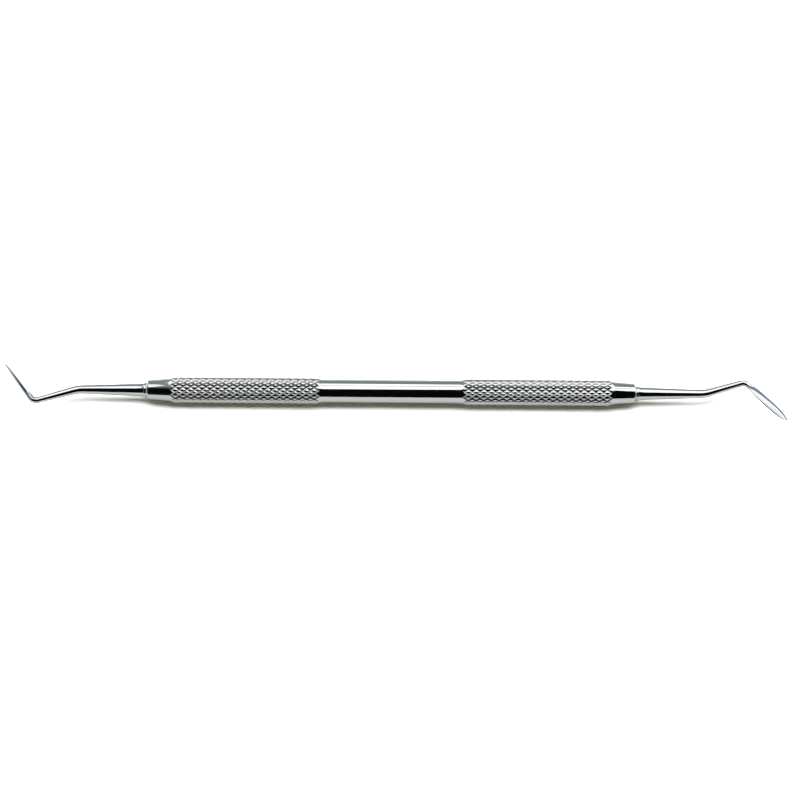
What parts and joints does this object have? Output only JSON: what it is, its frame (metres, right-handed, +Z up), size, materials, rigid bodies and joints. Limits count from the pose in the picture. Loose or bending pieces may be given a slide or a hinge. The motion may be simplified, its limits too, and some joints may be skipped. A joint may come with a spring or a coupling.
{
  "type": "double-ended hand scaler",
  "caption": "Slim steel dental hand instrument: a round handle with knurled grips and a smooth waist, and a bent shank with a leaf-shaped blade at each end.",
  "frame": {"origin": "middle of the handle, on its axis, which is the centre of the whole instrument's box", "axes": "+X along the handle to the right working end, +Y to the side in the plane of the bends, +Z up when it lies on a table with that plane level"},
  "size_m": [0.1802, 0.0142, 0.006],
  "materials": {
    "handle_steel": "bright polished stainless steel",
    "blade_steel": "bright polished hardened stainless steel",
    "braze_metal": "satin silver braze"
  },
  "bodies": {
    "root": {"handle": "handle_steel", "left_working_end": "blade_steel", "right_working_end": "blade_steel", "left_braze_ring": "braze_metal", "right_braze_ring": "braze_metal"}
  },
  "joints": []
}
